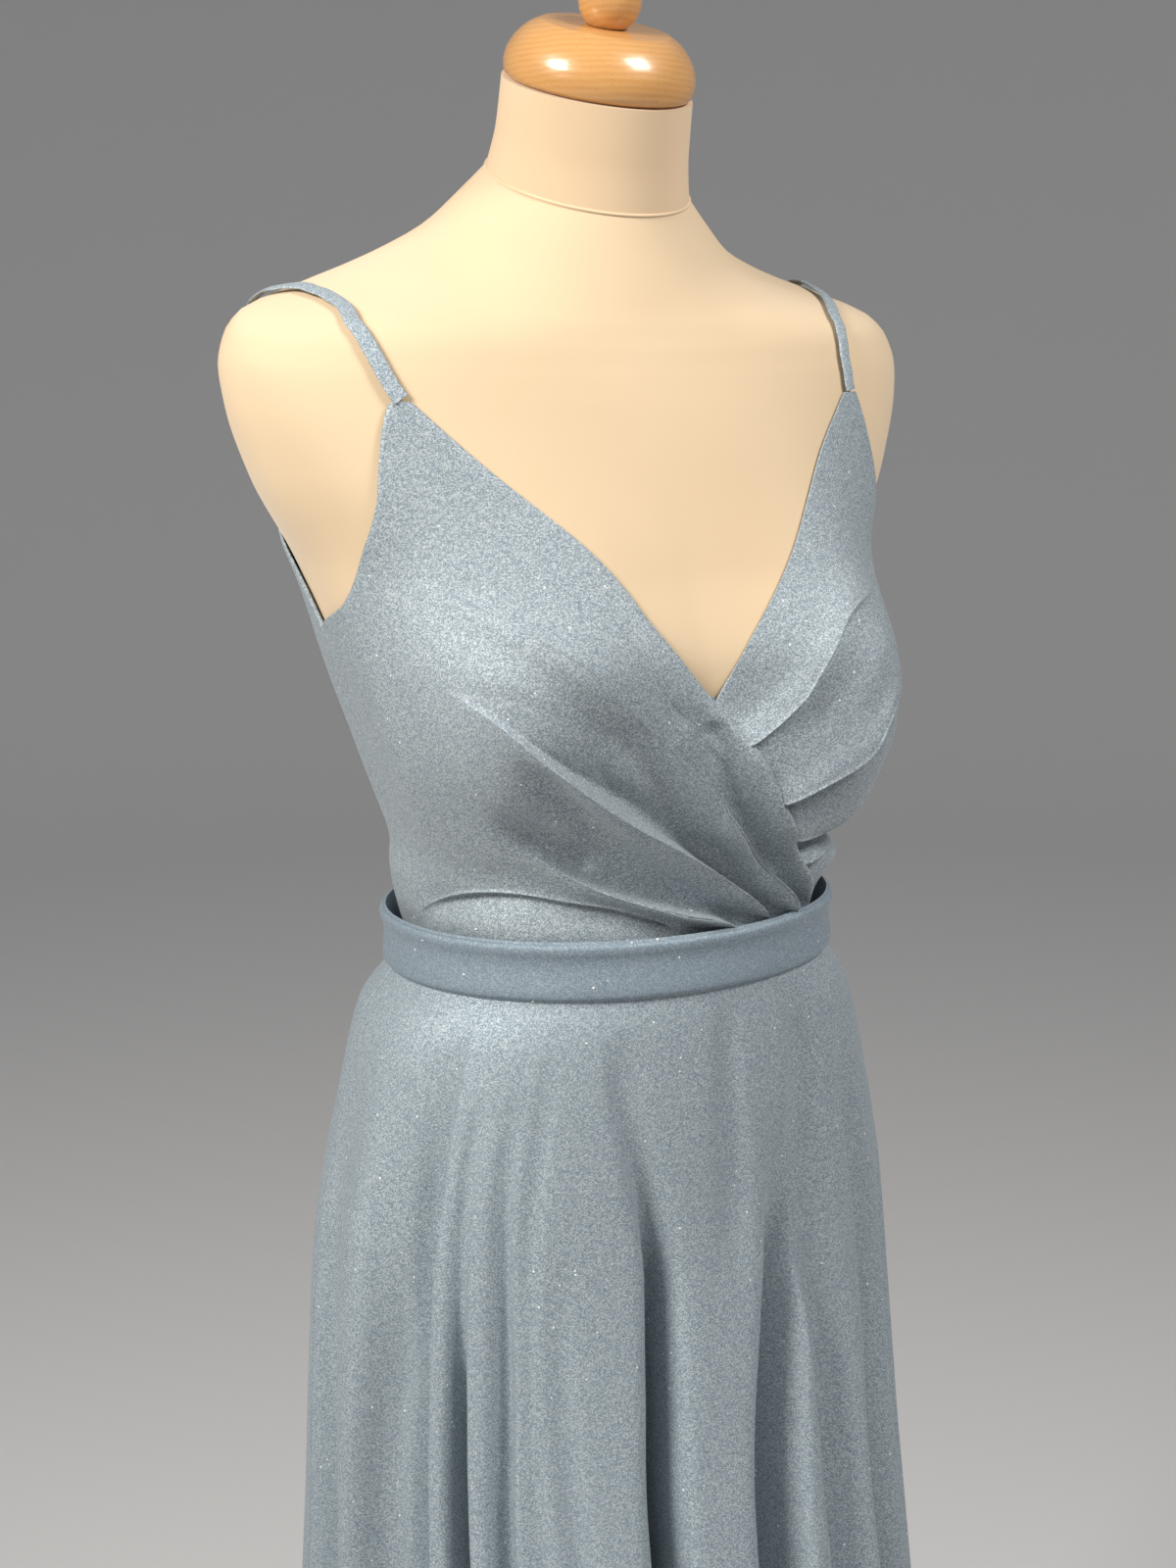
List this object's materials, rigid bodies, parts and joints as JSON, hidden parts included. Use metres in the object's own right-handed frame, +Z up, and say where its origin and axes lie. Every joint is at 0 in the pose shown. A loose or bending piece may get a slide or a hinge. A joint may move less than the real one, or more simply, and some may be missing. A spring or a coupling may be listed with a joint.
{
  "type": "wrap cocktail dress on a dress form",
  "caption": "Knee-length wrap dress with narrow straps, pleated crossed fronts, a belt and a softly folded skirt, worn on a limbless dress form with a wooden cap and round stand.",
  "frame": {"origin": "centre of the stand's underside, on the floor", "axes": "+Z up along the stand's pole, -Y towards the front of the dress, +X towards the wearer's left"},
  "size_m": [0.406, 0.3841, 1.542],
  "materials": {
    "dusty_blue_knit": "satin knit with a fine glitter",
    "cream_jersey": "matt fine jersey",
    "varnished_beech": "clear gloss varnish"
  },
  "bodies": {
    "root": {"form_torso": "cream_jersey", "form_neck": "cream_jersey", "neck_cap": "varnished_beech", "neck_knob": "varnished_beech", "stand_base": "varnished_beech", "stand_pole": "varnished_beech", "bodice_front_right": "dusty_blue_knit", "bodice_front_left": "dusty_blue_knit", "bodice_back": "dusty_blue_knit", "skirt_front": "dusty_blue_knit", "skirt_back": "dusty_blue_knit", "belt": "dusty_blue_knit", "strap_right": "dusty_blue_knit", "strap_left": "dusty_blue_knit"}
  },
  "joints": []
}
